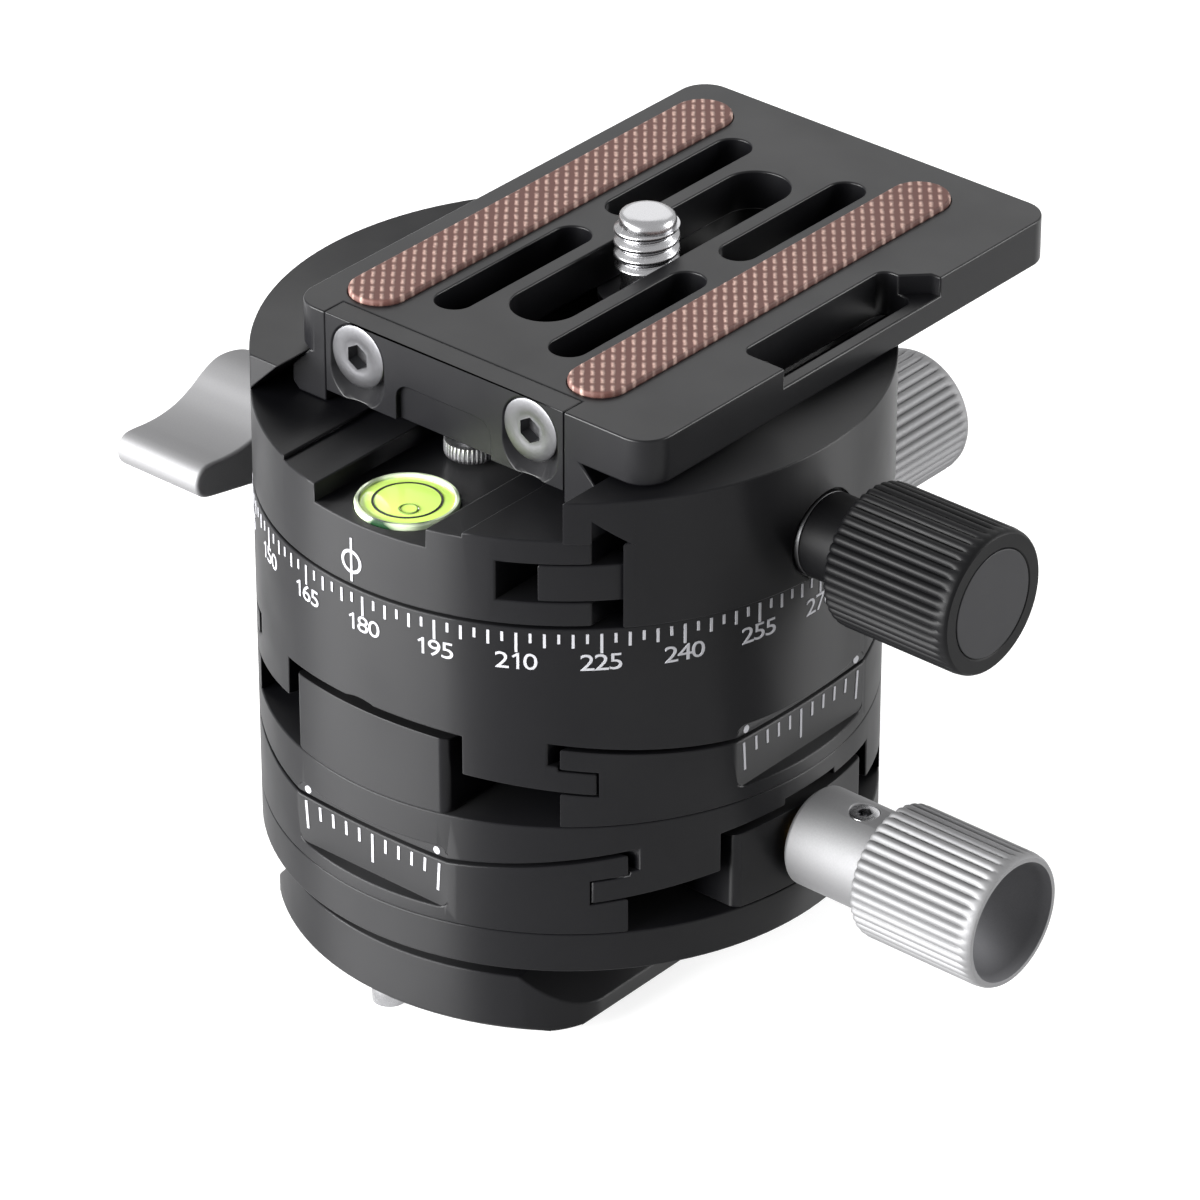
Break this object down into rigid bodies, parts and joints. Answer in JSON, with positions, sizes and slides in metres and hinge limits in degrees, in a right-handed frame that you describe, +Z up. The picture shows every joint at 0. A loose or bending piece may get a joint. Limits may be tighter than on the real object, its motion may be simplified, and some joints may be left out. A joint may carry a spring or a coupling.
{
  "type": "geared levelling head with panning clamp",
  "caption": "Round tripod head: two crossed worm-driven tilt stages, a panning base with a lever lock, and a screw-knob clamp that holds a dovetail camera plate with an anti-twist stopper.",
  "frame": {"origin": "centre of the tripod thread's mouth in the underside of the foot", "axes": "+Z up along the pan axis, +X towards the clamp knob and the lower tilt knob, +Y along the camera plate away from its stopper, towards the upper tilt knob"},
  "size_m": [0.0978, 0.084, 0.0699],
  "materials": {
    "black_anodised": "satin black anodised, finely blasted",
    "silver_anodised": "satin silver anodised, turned",
    "steel": "polished stainless steel",
    "dark_steel": "black oxide",
    "brass": "machined",
    "rubber": "woven texture, matt",
    "level_white": "clear rim over white",
    "level_green": "clear acrylic over a yellow-green liquid"
  },
  "bodies": {
    "base": {"foot_plate": "black_anodised", "tripod_thread_bush": "steel", "foot_screws": "dark_steel", "foot_stop_screws": "steel", "base_disc": "black_anodised", "lower_rail_scale": "black_anodised", "lower_rail_plain": "black_anodised", "lower_worm_housing": "black_anodised", "lower_worm_bush": "brass"},
    "lower_drive": {"lower_worm": "steel", "lower_knob": "silver_anodised", "lower_knob_screw": "dark_steel"},
    "lower_stage": {"lower_carriage": "black_anodised", "lower_rack": "brass", "upper_rail_scale": "black_anodised", "upper_rail_plain": "black_anodised", "upper_worm_housing": "black_anodised", "upper_worm_bush": "brass"},
    "upper_drive": {"upper_worm": "steel", "upper_knob": "silver_anodised", "upper_knob_screw": "dark_steel"},
    "upper_stage": {"scale_drum": "black_anodised", "upper_rack": "brass"},
    "pan_lock": {"lock_lever": "silver_anodised", "lock_shaft": "steel"},
    "panning_clamp": {"clamp_body": "black_anodised", "pan_spindle": "black_anodised", "pan_ring": "silver_anodised", "pan_screw": "steel", "level_ring": "level_white", "level_vial": "level_green"},
    "clamp_jaw": {"moving_jaw": "black_anodised", "clamp_washer": "dark_steel"},
    "clamp_drive": {"clamp_knob": "black_anodised", "clamp_knob_cap": "black_anodised", "clamp_screw": "steel"},
    "plate": {"camera_plate": "black_anodised", "rubber_strip_left": "rubber", "rubber_strip_right": "rubber", "plate_safety_screws": "steel", "stopper_screws": "dark_steel"},
    "plate_stopper": {"stopper": "black_anodised"},
    "screw_carrier": {"camera_screw_washer": "dark_steel"},
    "camera_fixing": {"camera_screw": "steel"}
  },
  "joints": [
    {"name": "lower_tilt", "type": "hinge", "parent": "base", "child": "lower_stage", "pos_m": [0, 0, 0.1389], "axis": [0, 1, 0], "range_deg": [-5, 5]},
    {"name": "lower_knob_turn", "type": "hinge", "parent": "base", "child": "lower_drive", "pos_m": [0.04, 0, 0.0169], "axis": [1, 0, 0], "range_deg": [-1500, 1500]},
    {"name": "upper_tilt", "type": "hinge", "parent": "lower_stage", "child": "upper_stage", "pos_m": [0, 0, 0.1508], "axis": [1, 0, 0], "range_deg": [-5, 5]},
    {"name": "upper_knob_turn", "type": "hinge", "parent": "lower_stage", "child": "upper_drive", "pos_m": [0, 0.04, 0.0288], "axis": [0, 1, 0], "range_deg": [-1500, 1500]},
    {"name": "lock_turn", "type": "hinge", "parent": "upper_stage", "child": "pan_lock", "pos_m": [-0.033, 0, 0.03695], "axis": [1, 0, 0], "range_deg": [-10, 55]},
    {"name": "pan", "type": "hinge", "parent": "upper_stage", "child": "panning_clamp", "pos_m": [0, 0, 0.0455], "axis": [0, 0, 1], "continuous": true},
    {"name": "jaw_slide", "type": "slide", "parent": "panning_clamp", "child": "clamp_jaw", "axis": [1, 0, 0], "range_m": [-0.00215, 0.0018]},
    {"name": "clamp_knob_turn", "type": "hinge", "parent": "clamp_jaw", "child": "clamp_drive", "pos_m": [0.04, 0, 0.0499], "axis": [1, 0, 0], "range_deg": [-620.2, 519.4]},
    {"name": "plate_slide", "type": "slide", "parent": "panning_clamp", "child": "plate", "axis": [0, 1, 0], "range_m": [-0.0038, 0.0075]},
    {"name": "stopper_slide", "type": "slide", "parent": "plate", "child": "plate_stopper", "axis": [0, 0, 1], "range_m": [0, 0.0018]},
    {"name": "screw_slide", "type": "slide", "parent": "plate", "child": "screw_carrier", "axis": [0, 1, 0], "range_m": [-0.0145, 0.0163]},
    {"name": "camera_screw_turn", "type": "hinge", "parent": "screw_carrier", "child": "camera_fixing", "pos_m": [0.00005, 0.0112, 0.066], "axis": [0, 0, 1], "continuous": true}
  ],
  "couplings": [
    {"joint": "lower_knob_turn", "follows": "lower_tilt", "ratio": 300},
    {"joint": "upper_knob_turn", "follows": "upper_tilt", "ratio": -300},
    {"joint": "clamp_knob_turn", "follows": "jaw_slide", "rad_per_m": 5026.5}
  ]
}
